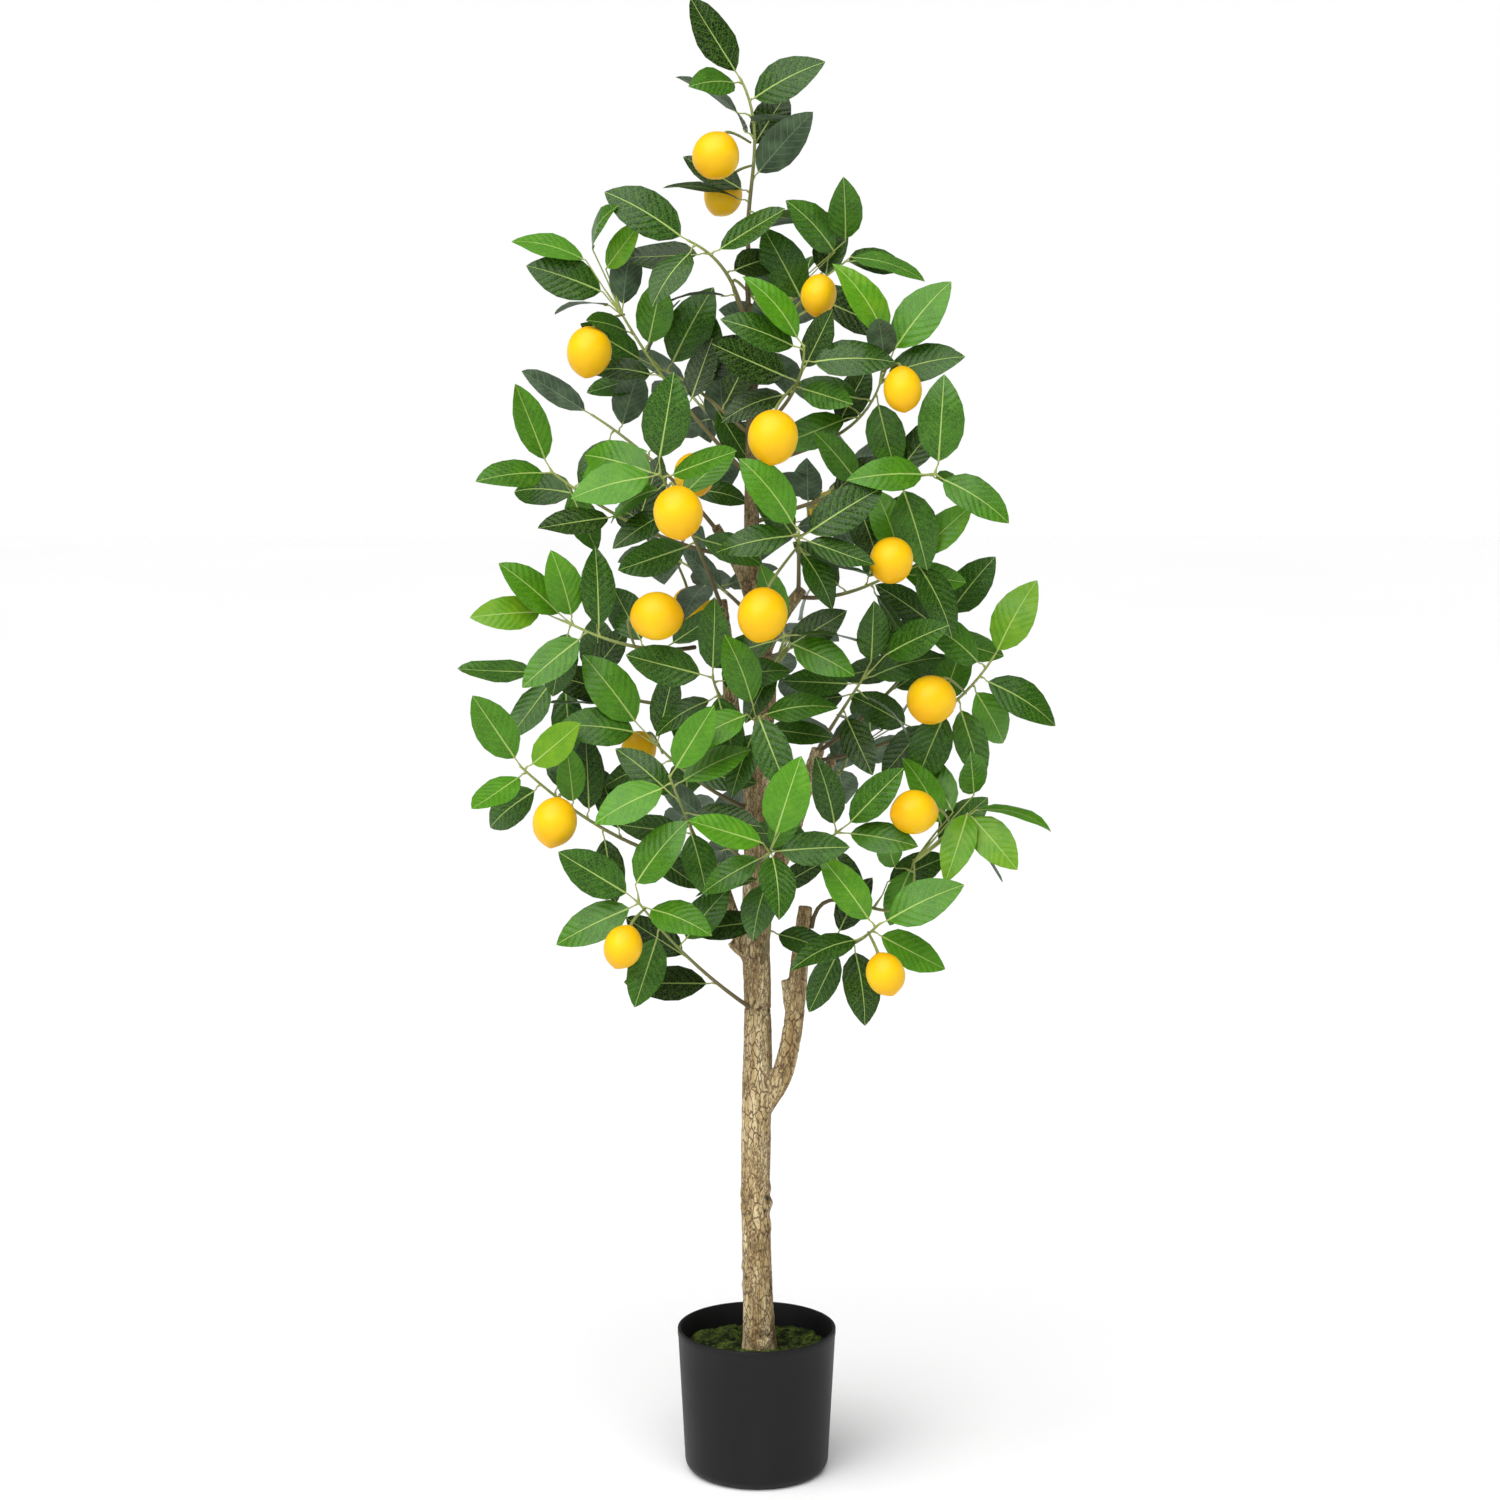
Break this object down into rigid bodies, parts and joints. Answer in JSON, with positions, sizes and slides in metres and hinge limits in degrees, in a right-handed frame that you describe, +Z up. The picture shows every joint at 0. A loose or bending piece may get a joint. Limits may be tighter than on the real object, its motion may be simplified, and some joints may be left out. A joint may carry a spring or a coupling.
{
  "type": "potted lemon tree",
  "caption": "Slender lemon tree with leafy shoots and ripe lemons on one branching trunk, standing in a plain round pot topped with moss.",
  "frame": {"origin": "middle of the pot's underside", "axes": "+Z up along the trunk, -Y the front, +X to the right seen from the front"},
  "size_m": [0.6082, 0.501, 1.5017],
  "materials": {
    "pot_plastic": "moulded, satin black",
    "potting_fill": "rough cast fill",
    "moss": "matted moss",
    "bark": "rough bark with fine upright cracks",
    "leaf": "satin, pale veins above, grey-green below",
    "twig": "smooth green twig, brown near the wood",
    "lemon_peel": "satin, fine pores"
  },
  "bodies": {
    "root": {"pot": "pot_plastic", "potting_fill": "potting_fill", "moss": "moss", "trunk": "bark", "lemon_01": "lemon_peel", "lemon_02": "lemon_peel", "lemon_03": "lemon_peel", "lemon_04": "lemon_peel", "lemon_05": "lemon_peel", "lemon_06": "lemon_peel", "lemon_07": "lemon_peel", "lemon_08": "lemon_peel", "lemon_09": "lemon_peel", "lemon_10": "lemon_peel", "lemon_11": "lemon_peel", "lemon_12": "lemon_peel", "lemon_13": "lemon_peel", "lemon_14": "lemon_peel", "lemon_15": "lemon_peel", "lemon_16": "lemon_peel", "lemon_17": "lemon_peel", "lemon_18": "lemon_peel", "lemon_19": "lemon_peel", "leader_shoot": "leaf", "upper_left_leader_shoot": "leaf", "upper_right_shoot": "leaf", "upper_left_shoot": "leaf", "left_grey_shoot": "leaf", "left_high_shoot": "leaf", "front_left_shoot": "leaf", "front_left_mid_shoot": "leaf", "left_mid_shoot": "leaf", "left_middle_back_shoot": "leaf", "left_inner_shoot": "leaf", "left_low_front_shoot": "leaf", "left_low_shoot": "leaf", "lowest_left_shoot": "leaf", "front_low_shoot": "leaf", "trunk_shoot": "leaf", "lowest_right_shoot": "leaf", "front_right_low_shoot": "leaf", "right_low_shoot": "leaf", "right_mid_shoot": "leaf", "right_mid_upper_shoot": "leaf", "right_inner_shoot": "leaf", "right_high_shoot": "leaf", "right_upper_shoot": "leaf", "right_top_shoot": "leaf", "front_upper_shoot": "leaf", "left_upper_back_shoot": "leaf", "front_middle_shoot": "leaf", "front_centre_shoot": "leaf", "front_fork_shoot": "leaf", "back_top_shoot": "leaf", "back_upper_left_shoot": "leaf", "back_upper_right_shoot": "leaf", "back_left_shoot": "leaf", "back_middle_shoot": "leaf", "back_right_low_shoot": "leaf", "back_left_low_shoot": "leaf"}
  },
  "joints": []
}
